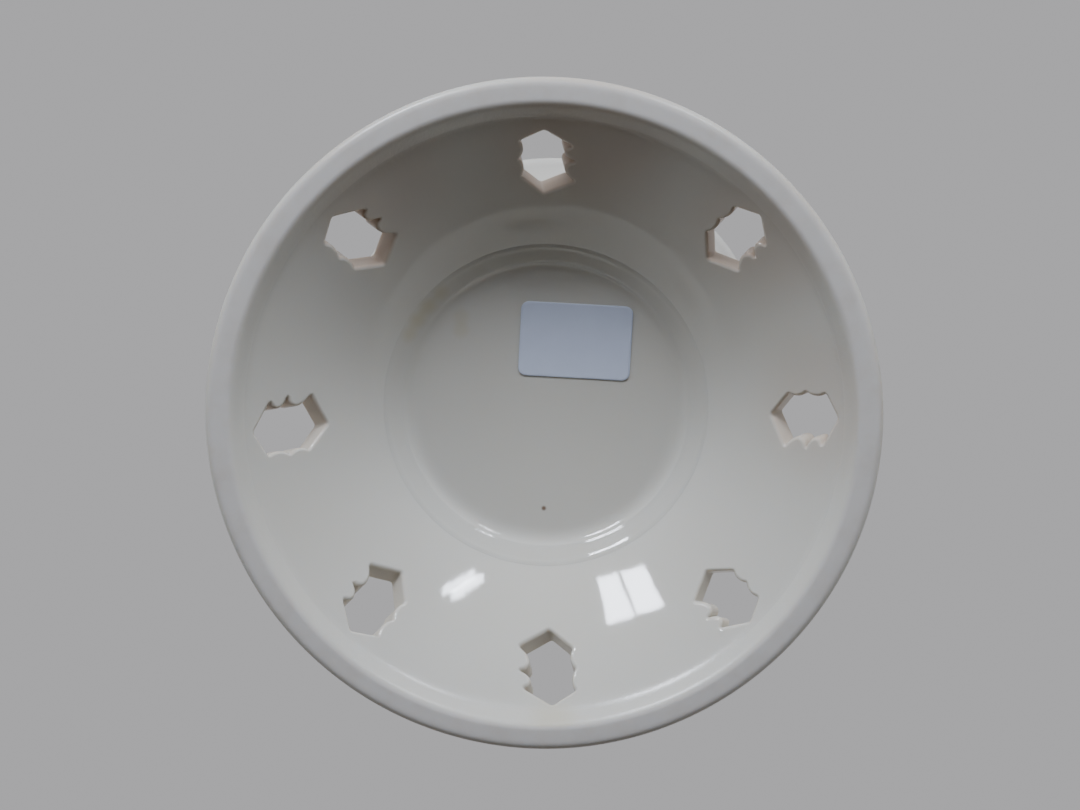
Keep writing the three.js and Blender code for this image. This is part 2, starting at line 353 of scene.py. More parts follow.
class Slope:
    """The skirt's slope: its inner line, its outer line one wall away, and the way up along both."""

    def __init__(self, sizes):
        rim_inside = SKIRT_HIGH.x - sizes.rim_width
        self.foot = np.array([rim_inside - sizes.step_inset, sizes.step_height])
        self.head = np.array([sizes.bore_radius, SKIRT_HIGH.z - sizes.bore_height])
        self.way = (self.head - self.foot) / np.linalg.norm(self.head - self.foot)
        self.out = np.array([self.way[1], -self.way[0]])
        self.wall = sizes.wall
        self.flare = sizes.flare
        self.neck = self.outside(SKIRT_HIGH.z)
        self.blend_corner = self.outside(sizes.rim_height)

    def outside(self, height):
        """The straight outer line's point at a height."""
        start = self.foot + self.out * self.wall
        return start + self.way * (height - start[1]) / self.way[1]

    def bowed(self, start, end, step):
        """Points of a line along the slope that bows towards the hollow."""
        line = straight(start, end, step)
        run = np.linspace(0, 1, len(line))
        return line - self.out * (self.flare * 4 * run * (1 - run))[:, None]

    def inner_line(self, step):
        """The inner line from the head down to the foot."""
        return self.bowed(self.head, self.foot, step)

    def outer_line(self, step):
        """The outer line from the neck down to the rim's top."""
        return self.bowed(self.neck, self.blend_corner, step)


def skirt_profile(sizes, slope):
    """The closed profile of the skirt, and which of its points lie outside and which inside."""
    radius, top = SKIRT_HIGH.x, SKIRT_HIGH.z
    rim_inside = radius - sizes.rim_width
    step = 1.0 * MM
    edge_up, edge_along = 1.1 * MM, 0.8 * MM
    foot_bend = 0.7 * MM
    outer_line = slope.outer_line(step)[::-1][round(sizes.blend / step):]
    inner_line = slope.inner_line(step)[:-1]
    step_top = toward(slope.foot, (rim_inside, sizes.rim_inner_rounding), foot_bend)
    lean = (rim_inside - slope.foot[0]) / (sizes.step_height - sizes.rim_inner_rounding)
    corner = (rim_inside + lean * sizes.rim_inner_rounding, 0.0)
    flat_start = (corner[0] + edge_along, 0.0)
    points_over_the_rim = 5
    pen = Pen(flat_start)
    pen.line((radius - sizes.rim_outer_rounding, 0), 0.5 * MM)
    pen.bend((radius, 0), (radius, sizes.rim_outer_rounding), 8)
    pen.line((radius, sizes.rim_side), 0.4 * MM)
    pen.bend((radius, sizes.rim_height), (radius - sizes.rim_top_inset, sizes.rim_height), 10)
    outside_first = pen.last() - points_over_the_rim
    pen.bend(slope.blend_corner, outer_line[0], 12)
    pen.add(outer_line)
    outside = range(outside_first, pen.last() + 1)
    pen.line((sizes.bore_radius, top), step)
    pen.line(slope.head, step)
    inside_first = pen.last()
    pen.add(inner_line)
    pen.bend(slope.foot, step_top, 4)
    pen.line(toward(corner, slope.foot, edge_up), 0.5 * MM)
    inside = range(inside_first, pen.last() + 1)
    pen.bend(corner, flat_start, 6)
    return pen.points[:-1], outside, inside


# How each leaf's cut by hand differs from the drawn one, round the skirt from +X: its shift down
# and round the slope in mm, its turn in degrees, the knife's lean down and round the slope, and
# its stretch along and across
HandCut = namedtuple("HandCut", "down round turn lean_down lean_round along across")
HAND_CUTS = (
    HandCut(0.85, 0.59, 2.2, -0.03, -0.08, 0.929, 1.005),
    HandCut(1.00, 0.33, 4.0, -0.14, -0.10, 0.898, 0.964),
    HandCut(0.55, -0.40, 0.9, 0.17, -0.13, 0.999, 1.034),
    HandCut(0.09, -1.67, 2.5, 0.33, -0.02, 1.018, 0.998),
    HandCut(-0.11, -1.42, 2.6, 0.15, -0.18, 1.007, 1.051),
    HandCut(-0.49, -0.28, 5.8, 0.14, -0.17, 1.000, 1.009),
    HandCut(-0.77, 0.84, 5.8, -0.07, -0.16, 0.939, 0.984),
    HandCut(0.59, 1.85, 4.8, -0.14, 0.07, 0.983, 0.927),
)


def cut_by_hand(outline, leaf, cut):
    """The drawn outline as one cut has it: stretched, turned about its middle and shifted."""
    middle = np.array([leaf.reach / 2, 0.0])
    turn = math.radians(cut.turn)
    across = np.array([[math.cos(turn), math.sin(turn)], [-math.sin(turn), math.cos(turn)]])
    stretched = (outline - middle) * (cut.along, cut.across)
    return stretched @ across + middle + np.array([cut.down, cut.round]) * MM


def scallop(start, end, depth, lean):
    """The wall's bulge into the leaf between two of its points, leaning along the outline."""
    start, end = np.array(start), np.array(end)
    chord = end - start
    inward = np.array([-chord[1], chord[0]]) / np.linalg.norm(chord)
    reach = inward * depth * 4 / 3
    return swing(start, start + chord * (0.2 + lean) + reach, end + chord * (lean - 0.2) + reach, end)


def leaf_outline(leaf):
    """The leaf from above its wall, x from the inner tip to the outer tip, with softened corners."""
    def shallow(along, out):
        return (along * leaf.reach, -out * leaf.shallow_half)

    def deep(along, out):
        return (along * leaf.reach, out * leaf.deep_half)

    # Each corner with the depth and the lean of the scallop that follows it, if one does
    second_deep = leaf.deep_scallop * 0.85
    corners = (
        (deep(0, 0.05), 0, 0),
        (shallow(0.27, 0.87), leaf.shallow_scallop, 0),
        (shallow(0.53, 1), leaf.shallow_scallop, 0),
        (shallow(0.81, 1), 0, 0),
        (shallow(1, 0.1), 0, 0),
        (deep(0.79, 0.84), second_deep, -0.18),
        (deep(0.555, 1), leaf.deep_scallop, -0.2),
        (deep(0.24, 1), 0, 0),
    )
    pitch = 0.1 * MM
    pen = Pen(corners[0][0])
    for number, (start, depth, lean) in enumerate(corners):
        end = corners[(number + 1) % len(corners)][0]
        pen.add(scallop(start, end, depth, lean) if depth else straight(start, end, pitch))
    even = evenly_spaced(pen.points[:-1], 8 * LEAF_POINTS)
    spread = leaf.corner_softness / float(np.linalg.norm(even[1] - even[0]))
    reach = int(4 * spread)
    shifts = np.arange(-reach, reach + 1)
    weights = np.exp(-0.5 * (shifts / spread) ** 2)
    weights /= weights.sum()
    soft = sum(weight * np.roll(even, shift, axis=0) for shift, weight in zip(shifts, weights))
    return evenly_spaced(soft, LEAF_POINTS)


def evenly_spaced(points, count):
    """A closed line's points again, at even distances along it."""
    closed = np.vstack([points, points[:1]])
    along = np.concatenate([[0], np.cumsum(np.linalg.norm(np.diff(closed, axis=0), axis=1))])
    wanted = np.linspace(0, along[-1], count, endpoint=False)
    return np.stack([np.interp(wanted, along, closed[:, axis]) for axis in (0, 1)], axis=1)


def contains(outline, points):
    """Which points lie inside a closed outline."""
    x, y = points[:, 0][:, None], points[:, 1][:, None]
    start, end = outline, np.roll(outline, -1, axis=0)
    crosses = (start[:, 1] > y) != (end[:, 1] > y)
    rise = np.where(end[:, 1] == start[:, 1], 1.0, end[:, 1] - start[:, 1])
    at = start[:, 0] + (y - start[:, 1]) * (end[:, 0] - start[:, 0]) / rise
    return (crosses & (x < at)).sum(axis=1) % 2 == 1


class LeafPlane:
    """One leaf's plane on the inner slope: x down the slope, y round it, z outward with the knife."""

    def __init__(self, slope, leaf, bearing, cut):
        tip = slope.foot + slope.way * (leaf.to_rim + leaf.reach)
        cos, sin = math.cos(bearing), math.sin(bearing)
        self.origin = np.array([tip[0] * cos, tip[0] * sin, tip[1]])
        self.axes = np.array([
            [-slope.way[0] * cos, -slope.way[0] * sin, -slope.way[1]],
            [-sin, cos, 0.0],
            [slope.out[0] * cos, slope.out[0] * sin, slope.out[1]],
        ])
        self.axes[2] += cut.lean_down * self.axes[0] + cut.lean_round * self.axes[1]
        self.back = np.linalg.inv(self.axes)

    def flat(self, points):
        """Points of the model in the plane's own x, y and z."""
        return (points - self.origin) @ self.back

    def placed(self, points):
        """Points in the plane's own x, y and z as points of the model."""
        return points @ self.axes + self.origin


# One side of the skirt's wall: the rings of points on it, their profile and normals, how far from a
# leaf's plane it may lie, the rounding of the edge there, and whether it faces the hollow
Side = namedtuple("Side", "rings profile normals low high rounding hollow")


def on_slope(plane, spots, side):
    """Points and normals where lines square to a leaf's plane meet one side of the skirt."""
    order = np.argsort(side.profile[:, 0])
    radii, heights = side.profile[order, 0], side.profile[order, 1]
    near, far = np.full(len(spots), side.low), np.full(len(spots), side.high)
    for _ in range(40):
        middle = (near + far) / 2
        points = plane.placed(np.column_stack([spots, middle]))
        over = points[:, 2] > np.interp(np.hypot(points[:, 0], points[:, 1]), radii, heights)
        far = np.where(over, middle, far)
        near = np.where(over, near, middle)
    radius = np.hypot(points[:, 0], points[:, 1])
    out = np.interp(radius, radii, side.normals[order, 0])
    up = np.interp(radius, radii, side.normals[order, 1])
    ways = np.column_stack([out * points[:, 0] / radius, out * points[:, 1] / radius, up])
    return points, ways / np.linalg.norm(ways, axis=1)[:, None]


def open_field(spots, border, outline):
    """Triangles that fill a field round a leaf. The first spots are its border, the last its outline."""
    count = len(spots)
    leaf_start = count - len(outline)
    edges = [(i, (i + 1) % border) for i in range(border)]
    edges += [(i, i + 1) for i in range(leaf_start, count - 1)] + [(count - 1, leaf_start)]
    found, _, faces, sources, _, _ = delaunay_2d_cdt(
        [Vector(spot / MM) for spot in spots], edges, [], 0, 1e-6)
    if len(found) != count:
        raise RuntimeError("The field round a leaf gained or lost points")
    first = [source[0] for source in sources]
    triangles = np.array([[first[corner] for corner in face] for face in faces])
    middles = spots[triangles].mean(axis=1)
    keep = contains(spots[:border], middles) & ~contains(outline, middles)
    return triangles[keep]


class SkirtBuilder:
    """Gathers the points, normals and faces of the pierced skirt."""

    field_margin = 1.1 * MM
    field_half_steps = 9
    clear_of_edge = 0.35 * MM

    def __init__(self, skirt, leaf):
        self.slope = Slope(skirt)
        self.leaf = leaf
        self.steps = STEPS_PER_LEAF * leaf.count
        profile, outside, inside = skirt_profile(skirt, self.slope)
        self.rings = len(profile)
        normals = line_normals(profile)
        bearings = np.arange(self.steps) * 2 * math.pi / self.steps
        self.points = turned_round(profile, bearings).reshape(-1, 3)
        self.ways = turned_round(normals, bearings).reshape(-1, 3)
        self.glaze = np.zeros(len(self.points))
        self.sides = (
            Side(inside, profile[inside], normals[inside], -2 * MM, 2 * MM,
                 leaf.inner_rounding, True),
            Side(outside, profile[outside], normals[outside], skirt.wall / 2, skirt.wall * 2,
                 leaf.outer_rounding, False),
        )
        self.open_cells = set()
        self.faces = []

    def add(self, points, ways, glaze):
        """Adds points and returns the number of the first."""
        first = len(self.points)
        self.points = np.vstack([self.points, points])
        self.ways = np.vstack([self.ways, ways])
        self.glaze = np.concatenate([self.glaze, glaze])
        return first

    def field(self, plane, outline, side, middle_step):
        """Fills one side of the wall round a leaf. Returns its edge's first point and normals."""
        outward = line_normals(outline)
        grown = outline + outward * side.rounding
        on_ring = [plane.flat(self.points[[ring * self.steps + middle_step]])[0, 0] for ring in side.rings]
        above = [i for i, x in enumerate(on_ring) if x < grown[:, 0].min() - self.field_margin]
        below = [i for i, x in enumerate(on_ring) if x > grown[:, 0].max() + self.field_margin * 0.9]
        ends = (max(above), min(below)) if side.hollow else (max(below), min(above))
        first, last = side.rings[ends[0]], side.rings[ends[1]]
        columns = [(middle_step + shift) % self.steps
                   for shift in range(-self.field_half_steps, self.field_half_steps + 1)]
        self.open_cells.update((ring, column) for ring in range(first, last) for column in columns[:-1])
        border = ([(first, column) for column in columns]
                  + [(ring, columns[-1]) for ring in range(first + 1, last + 1)]
                  + [(last, column) for column in reversed(columns[:-1])]
                  + [(ring, columns[0]) for ring in range(last - 1, first, -1)])
        rest = [(ring, column) for ring in range(first + 1, last) for column in columns[1:-1]]
        known = np.array([ring * self.steps + column for ring, column in border + rest])
        spots = plane.flat(self.points[known])[:, :2]
        clear = ~contains(outline + outward * (side.rounding + self.clear_of_edge), spots)
        clear[:len(border)] = True
        edge, ways = on_slope(plane, grown, side)
        edge_first = self.add(edge, ways, np.zeros(len(edge)))
        triangles = open_field(np.vstack([spots[clear], grown]), len(border), grown)
        numbers = np.concatenate([known[clear], edge_first + np.arange(len(edge))])
        corners = numbers[triangles]
        self.faces += (corners[:, ::-1] if side.hollow else corners).tolist()
        return edge_first, ways

    def edge_rings(self, plane, outline, edge_ways, side):
        """Rings of points that round the edge from the slope into the leaf's wall."""
        outward = line_normals(outline)
        through = plane.axes[2] / np.linalg.norm(plane.axes[2])
        to_wall = -outward @ plane.axes[:2]
        to_wall -= (to_wall @ through)[:, None] * through
        to_wall /= np.linalg.norm(to_wall, axis=1)[:, None]
        rings = []
        for turn in np.linspace(0, math.pi / 2, 7)[1:]:
            points, _ = on_slope(plane, outline + outward * side.rounding * (1 - math.sin(turn)), side)
            depth = side.rounding * (1 - math.cos(turn))
            points = points + plane.axes[2] * (depth if side.hollow else -depth)
            ways = edge_ways * math.cos(turn) + to_wall * math.sin(turn)
            rings.append((points, ways, np.full(len(points), math.sin(turn) ** 2)))
        return rings

    def cut_leaf(self, drawn, cut, number):
        """Opens the wall for one leaf and closes it again with rounded edges and a wall."""
        plane = LeafPlane(self.slope, self.leaf, number * 2 * math.pi / self.leaf.count, cut)
        outline = cut_by_hand(drawn, self.leaf, cut)
        firsts, edges = [], []
        for side in self.sides:
            first, ways = self.field(plane, outline, side, number * STEPS_PER_LEAF)
            firsts.append(first)
            edges.append(self.edge_rings(plane, outline, ways, side))
        inner, outer = edges
        low, high = inner[-1], outer[-1]
        across = [(low[0] * (1 - t) + high[0] * t, low[1], low[2]) for t in (0.25, 0.5, 0.75)]
        between = [self.add(*ring) for ring in inner + across + outer[::-1]]
        rows = [firsts[0]] + between + [firsts[1]]
        count = len(outline)
        for low_row, high_row in zip(rows, rows[1:]):
            for i in range(count):
                after = (i + 1) % count
                self.faces.append((low_row + i, high_row + i, high_row + after, low_row + after))


def build_skirt(context):
    """The pierced skirt as one closed mesh."""
    leaf = context.scene.votive_leaf
    builder = SkirtBuilder(context.scene.votive_skirt, leaf)
    drawn = leaf_outline(leaf)
    for number in range(leaf.count):
        builder.cut_leaf(drawn, HAND_CUTS[number % len(HAND_CUTS)], number)
    builder.faces += ring_faces(builder.rings, builder.steps, True, builder.open_cells)
    piece = new_piece("pierced_skirt_glazed", builder.points, builder.faces, "holder",
                      glazed_porcelain(context), builder.ways)
    depth = piece.data.attributes.new("glaze_depth", "FLOAT", "POINT")
    depth.data.foreach_set("value", builder.glaze)
    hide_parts("pierced_skirt")


# The cup and its seam

def cup_outer(sizes):
    """The cup's outside from the shoulder's edge to the foot of the lip."""
    start = np.array([SEAM_HIGH.x, SEAM_HIGH.z])
    end = np.array([CUP_HIGH.x - sizes.lip_flare, CUP_HIGH.z - sizes.lip_height])
    spread, rise = end - start
    return swing(start, start + (spread * 0.4, rise * 0.11), start + (spread * 0.75, rise * 0.56),
                 end, 40)


def crest_line(sizes, bore_radius):
    """Radius and height of the line where the cup's bottom turns from its cove to the seam."""
    disc = CUP_LOW.z + sizes.ring_height
    return np.array([bore_radius - sizes.clearance - sizes.crest_inset, disc - sizes.crest_drop])


def seam_end(sizes, slope):
    """Where the seam's slip runs out on the skirt's slope."""
    step = 0.1 * MM
    return slope.inner_line(step)[round(sizes.seam_reach / step)]


def cup_profile(sizes, slope, bore_radius):
    """The cup's profile, from the disc's middle below to the floor's middle inside."""
    disc = CUP_LOW.z + sizes.ring_height
    floor = disc + sizes.floor
    ring_outer = bore_radius - sizes.clearance
    crest = crest_line(sizes, bore_radius)
    before_crest = crest + (-0.13 * MM, 0.15 * MM)
    cove_handle = (-0.62 * MM, 0.72 * MM)
    after_crest = toward(crest, seam_end(sizes, slope), 0.2 * MM)
    under_slip = toward(crest, seam_end(sizes, slope), 0.4 * MM)
    cove_start = np.array([crest[0] - sizes.cove, disc])
    outer = cup_outer(sizes)
    lip = sizes.wall / 2
    lip_outside, lip_inside = 1.4 * MM, 0.8 * MM
    mouth, top = CUP_HIGH.x, CUP_HIGH.z
    way = np.gradient(outer, axis=0)
    way /= np.linalg.norm(way, axis=1)[:, None]
    inner = (outer + np.stack([-way[:, 1], way[:, 0]], axis=1) * sizes.wall)[::-1]
    heel = inner[-1]
    run = (heel[1] - floor) / way[0, 1]
    corner = (heel[0] - way[0, 0] * run, floor)
    turn = np.linspace(0, math.pi, 17)
    rounded_top = np.stack([mouth - lip + lip * np.cos(turn), top - lip + lip * np.sin(turn)], axis=1)

    pen = Pen((0, disc))
    pen.line(cove_start, 2 * MM)
    pen.swing(cove_start + (0.55 * sizes.cove, 0), before_crest + cove_handle, before_crest, 18)
    pen.bend(crest, after_crest, 5)
    for point in (under_slip, (ring_outer, crest[1] + lip), (ring_outer, SEAM_HIGH.z), outer[0]):
        pen.line(point, 1 * MM)
    pen.add(outer[:-3])
    pen.swing(outer[-1], (mouth, top - lip - lip_outside), (mouth, top - lip), 10)
    pen.add(rounded_top)
    pen.swing(rounded_top[-1] - (0, lip_inside), inner[2], inner[3], 6)
    pen.add(inner[3:])
    pen.bend(corner, (corner[0] - run, floor), 14)
    pen.line((0, floor), 2 * MM)
    return pen.points


def slip_band(sizes, slope, bore_radius):
    """The seam's face in the hollow: from the cup's crest line to the slope, with a bead at its end."""
    step = 0.12 * MM
    proud, sunk = 0.012 * MM, 0.03 * MM
    bead_from_end, bead_reach = 0.75 * MM, 0.35 * MM
    sink_at_start, sink_at_end = 0.08 * MM, 0.3 * MM
    start = toward(crest_line(sizes, bore_radius), seam_end(sizes, slope), step)
    line = straight(start, seam_end(sizes, slope), step)
    along = np.linspace(0, np.linalg.norm(line[-1] - line[0]), len(line))
    way = (line[-1] - line[0]) / along[-1]
    bead = sizes.seam_bead * np.exp(-((along - along[-1] + bead_from_end) / bead_reach) ** 2)
    ends = np.exp(-along / sink_at_start) + 0.8 * np.exp((along - along[-1]) / sink_at_end)
    lift = proud + bead - sunk * ends
    return line + np.array([way[1], -way[0]]) * lift[:, None]


def seam_profile(sizes, slope, bore_radius):
    """The slip's profile: its band in the hollow, the gap, the seam and a fillet outside."""
    step = 0.1 * MM
    past_gap = 0.4 * MM
    into_slope = slope.out * 0.6 * MM
    into_skirt, into_cup = (-0.7 * MM, -0.5 * MM), (-0.5 * MM, 0.6 * MM)
    into_ring = (0.3 * MM, 0.5 * MM)
    band = slip_band(sizes, slope, bore_radius)
    outer = cup_outer(sizes)
    along = np.concatenate([[0], np.cumsum(np.linalg.norm(np.diff(outer, axis=0), axis=1))])
    on_cup = np.array([np.interp(sizes.waist_fillet, along, outer[:, axis]) for axis in (0, 1)])
    on_skirt = slope.outer_line(step)[round(sizes.waist_fillet / step)]
    pen = Pen(band[0])
    pen.add(band)
    for point in (band[-1] + into_slope, (bore_radius + past_gap, SEAM_LOW.z - 1 * MM),
                  on_skirt + into_skirt, on_skirt):
        pen.line(point, 1 * MM)
    pen.bend((SEAM_HIGH.x, (SEAM_LOW.z + SEAM_HIGH.z) / 2), on_cup, 14)
    for point in (on_cup + into_cup,
                  (bore_radius - sizes.clearance - past_gap, SEAM_HIGH.z + past_gap),
                  band[0] + into_ring, band[0]):
        pen.line(point, 1 * MM)
    return pen.points[:-1]


def build_cup(context):
    """The candle cup with its foot ring."""
    skirt = context.scene.votive_skirt
    profile = cup_profile(context.scene.votive_cup, Slope(skirt), skirt.bore_radius)
    points, faces = turned_mesh(profile, CUP_STEPS, False)
    piece = new_piece("candle_cup_glazed", points, faces, "holder",
                      glazed_porcelain(context))
    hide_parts("candle_cup")


def build_seam(context):
    """The seam of slip between the skirt's neck and the cup."""
    skirt = context.scene.votive_skirt
    profile = seam_profile(context.scene.votive_cup, Slope(skirt), skirt.bore_radius)
    points, faces = turned_mesh(profile, CUP_STEPS, True)
    piece = new_piece("slip_seam_glazed", points, faces, "holder",
                      glazed_porcelain(context))
    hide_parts("slip_joint")


# The label

def label_outline(sizes):
    """The die-cut label's outline about its middle, long side along x."""
    x, y, corner = sizes.length / 2, sizes.width / 2, sizes.corner
    sides = []
    for quarter, (way_x, way_y) in enumerate(((1, 1), (-1, 1), (-1, -1), (1, -1))):
        turn = np.linspace(0, math.pi / 2, 9) + quarter * math.pi / 2
        sides.append(np.stack([way_x * (x - corner) + corner * np.cos(turn),
                               way_y * (y - corner) + corner * np.sin(turn)], axis=1))
    return evenly_spaced(np.vstack(sides), LABEL_POINTS)


def build_label(context):
    """The bare price label, stuck to the cup's bottom, its corners lifted a little."""
    sizes = context.scene.votive_label
    outline = label_outline(sizes)
    corner_reach = math.hypot(sizes.length, sizes.width) / 2
    cut_edge = 0.03 * MM
    shrunk = outline - line_normals(outline) * cut_edge
    stack = [(shrunk * scale, LABEL_LOW.z) for scale in (0.25, 0.5, 0.7, 0.85, 0.95, 1.0)]
    stack += [(outline, LABEL_LOW.z + cut_edge), (outline, LABEL_HIGH.z)]
    rings = []
    for flat, height in stack:
        reach = np.linalg.norm(flat, axis=1) / corner_reach
        rings.append(np.column_stack([flat, height - sizes.lift * reach ** 8]))
    points = np.vstack(rings + [[[0, 0, LABEL_LOW.z], [0, 0, LABEL_HIGH.z]]])
    cos, sin = math.cos(sizes.turn), math.sin(sizes.turn)
    middle = (LABEL_LOW + LABEL_HIGH) / 2
    placed = points @ np.array([[cos, sin, 0], [-sin, cos, 0], [0, 0, 1]]) + (middle.x, middle.y, 0)
    piece = new_piece("price_label_paper", placed, capped_faces(len(stack), LABEL_POINTS),
                      "holder", sticker_paper(context))
    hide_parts("price_label")


# The candle

def wax_profile(sizes):
    """The wax's closed profile, from the sustainer's recess round the outside to the wick."""
    low, high = WAX_LOW.z, WAX_HIGH.z
    top, foot = WAX_HIGH.x, sizes.foot_radius
    clear, wick_gap = 0.3 * MM, 0.08 * MM
    recess = sizes.tin_edge + clear
    neck = sizes.wick_radius + 2 * clear + sizes.tin_sheet
    neck_top = low + sizes.tin_height + clear
    pool = high - sizes.dish
    pool_edge = 2.6 * MM
    wick = sizes.wick_radius + wick_gap
    pen = Pen((recess, low))
    pen.line((foot - sizes.bottom_rounding, low), 1.5 * MM)
    pen.bend((foot, low), (foot, low + sizes.bottom_rounding), 8)
    pen.line((top, high - sizes.top_rounding), 1.5 * MM)
    pen.bend((top, high), (top - sizes.top_rounding, high), 10)
    pen.swing((top / 2, high), (top / 2, pool), (pool_edge, pool), 24)
    pen.bend((pool_edge / 2, pool), (wick, pool + sizes.climb), 8)
    for end, step in (((wick, neck_top), 2 * MM), ((neck, neck_top), 1 * MM),
                      ((neck, low + sizes.tin_sheet), 2 * MM),
                      ((recess, low + sizes.tin_sheet), 2 * MM), ((recess, low), 1 * MM)):
        pen.line(end, step)
    return pen.points[:-1]


def build_wax(context):
    """The poured wax, a little uneven where it set."""
    points, faces = turned_mesh(wax_profile(context.scene.votive_candle), WAX_STEPS, True)
    bearing = np.arctan2(points[:, 1], points[:, 0])
    radius = np.hypot(points[:, 0], points[:, 1])
    top_depth, wick_pool = 1.5 * MM, 2 * MM
    two_waves, five_waves = 0.05 * MM, 0.03 * MM
    face_up = (points[:, 2] > WAX_HIGH.z - top_depth) & (radius > wick_pool)
    ripple = two_waves * np.cos(2 * bearing + 0.6) + five_waves * np.cos(5 * bearing)
    points[:, 2] -= np.where(face_up, two_waves + five_waves + ripple * radius / WAX_HIGH.x, 0)
    piece = new_piece("candle_wax_poured", points, faces, "candle", poured_paraffin(context))
    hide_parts("candle_wax")


def build_wick(context):
    """The braided wick: crossing plies round a core, leaning a little over the wax."""
    sizes = context.scene.votive_candle
    rise = 0.14 * MM
    bearings = np.arange(WICK_STEPS) * 2 * math.pi / WICK_STEPS
    heights = np.linspace(WICK_LOW.z, WICK_HIGH.z, round((WICK_HIGH.z - WICK_LOW.z) / rise))
    plies_per_turn = 2
    twist = 1 / MM
    groove, taper = 0.2, 0.3
    taper_length = 0.5 * MM
    bare = WAX_HIGH.z - sizes.dish
    rings = []
    for height in heights:
        climb = (height - heights[0]) * twist
        right = np.abs(np.cos(plies_per_turn * (bearings + climb)))
        left = np.abs(np.cos(plies_per_turn * (bearings - climb)))
        to_end = min(1.0, (heights[-1] - height) / taper_length)
        braid = 1 - groove + groove * np.maximum(right, left)
        radius = sizes.wick_radius * braid * (1 - taper + taper * to_end)
        over = max(0.0, (height - bare) / (heights[-1] - bare))
        rings.append(np.stack([radius * np.cos(bearings) + sizes.wick_lean * over ** 2,
                               radius * np.sin(bearings), np.full(WICK_STEPS, height)], axis=1))
    ends = [[0, 0, heights[0]], [sizes.wick_lean, 0, heights[-1]]]
    piece = new_piece("candle_wick_braided", np.vstack(rings + [ends]),
                      capped_faces(len(rings), WICK_STEPS), "candle",
                      waxed_cotton(context))
    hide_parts("candle_wick")


def build_sustainer(context):
    """The stamped wick sustainer: a disc with a stiffening bead and a neck crimped on the wick."""
    sizes = context.scene.votive_candle
    low = TIN_LOW.z
    sheet = sizes.tin_sheet
    hole = sizes.wick_radius + 0.3 * MM
    top = low + sizes.tin_height
    rounded = sizes.tin_edge - 0.15 * MM
    bead_in, bead_out, bead_rise = 4.2 * MM, 5.4 * MM, 0.3 * MM
    pen = Pen((hole, low))
    pen.line((bead_in, low), 1 * MM)
    pen.bend(((bead_in + bead_out) / 2, low + bead_rise), (bead_out, low), 6)
    pen.line((rounded, low), 1 * MM)
    pen.bend((sizes.tin_edge, low + sheet / 2), (rounded, low + sheet), 4)
    pen.line((hole + 2 * sheet, low + sheet), 1 * MM)
    pen.bend((hole + sheet, low + sheet), (hole + sheet, low + 2 * sheet), 4)
    pen.line((hole + sheet, top), 0.4 * MM)
    pen.line((hole, top), 1 * MM)
    pen.line((hole, low), 0.4 * MM)
    points, faces = turned_mesh(pen.points[:-1], TIN_STEPS, True)
    bearing = np.arctan2(points[:, 1], points[:, 0])
    crimp, crimp_rise = 0.08, 1.5 * MM
    up = np.clip((points[:, 2] - low - 3 * sheet) / crimp_rise, 0, 1)
    points[:, :2] *= (1 - up * crimp * (1 - np.cos(3 * bearing)))[:, None]
    piece = new_piece("wick_sustainer_stamped", points, faces, "candle",
                      tinned_steel(context))
    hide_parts("wick_sustainer")


# Materials

def add_node(tree, kind, inputs=None, **settings):
    """Adds a node, sets its properties, and gives each named input a value or a link."""
    row, column = divmod(len(tree.nodes), 8)
    node = tree.nodes.new(kind)
    node.location = (220 * column, -320 * row)
    for name, value in settings.items():
        setattr(node, name, value)
    for name, value in (inputs or {}).items():
        if isinstance(value, bpy.types.NodeSocket):
            tree.links.new(value, node.inputs[name])
        else:
            node.inputs[name].default_value = value
    return node


def new_material(name):
    """An empty material and its node tree."""
    material = bpy.data.materials.new(name)
    material.use_nodes = True
    material.node_tree.nodes.clear()
    return material, material.node_tree


def set_surface(tree, inputs):
    """Gives a material its shader with these inputs."""
    shader = add_node(tree, "ShaderNodeBsdfPrincipled", inputs)
    add_node(tree, "ShaderNodeOutputMaterial", {"Surface": shader.outputs["BSDF"]})


def opaque(rgb):
    """A colour property's value with full alpha."""
    return (*rgb, 1.0)


def mixed(tree, share, first, second):
    """The colour between two colours or links, the second one's part set by share."""
    return add_node(tree, "ShaderNodeMix", {"Factor": share, "A": first, "B": second},
                    data_type="RGBA").outputs["Result"]


# Stains in and under the glaze, and patches of painted warm shade: where they lie and how far they
# reach in mm, which colour they have and how strong they are
StainAndShadeSpot = namedtuple("StainAndShadeSpot", "x y z reach tint share")
YELLOWED = (
    # Along the seam
    StainAndShadeSpot(-23.4, -12.9, 20.6, 2.4, "yellowing", 0.35),
    StainAndShadeSpot(-21.9, -15.3, 20.6, 2.6, "yellowing", 0.45),
    StainAndShadeSpot(-20.1, -17.6, 20.6, 2.6, "yellowing", 0.45),
    StainAndShadeSpot(-17.8, -19.8, 20.6, 2.4, "yellowing", 0.3),
    # On the disc beside the label
    StainAndShadeSpot(-14.3, -13.0, 22.3, 2.0, "yellowing", 0.22),
    StainAndShadeSpot(-14.2, -15.2, 22.3, 2.0, "yellowing", 0.2),
    # In a pool by the foot rim
    StainAndShadeSpot(1.1, 50.0, 1.5, 6.0, "yellowing", 0.3),
)
PAINTED_WARM_SHADE = (
    # Painted warm shade inside the foot rim, on the right and at the back, where the hollow faces away from
    # the light
    StainAndShadeSpot(46.0, -2.0, 5.0, 17.0, "tea_stain_and_warm_shade", 0.16),
    StainAndShadeSpot(36.0, -30.0, 5.0, 17.0, "tea_stain_and_warm_shade", 0.2),
    StainAndShadeSpot(8.0, -46.0, 5.0, 20.0, "tea_stain_and_warm_shade", 0.26),
    StainAndShadeSpot(-26.0, -38.0, 5.0, 16.0, "tea_stain_and_warm_shade", 0.18),
)
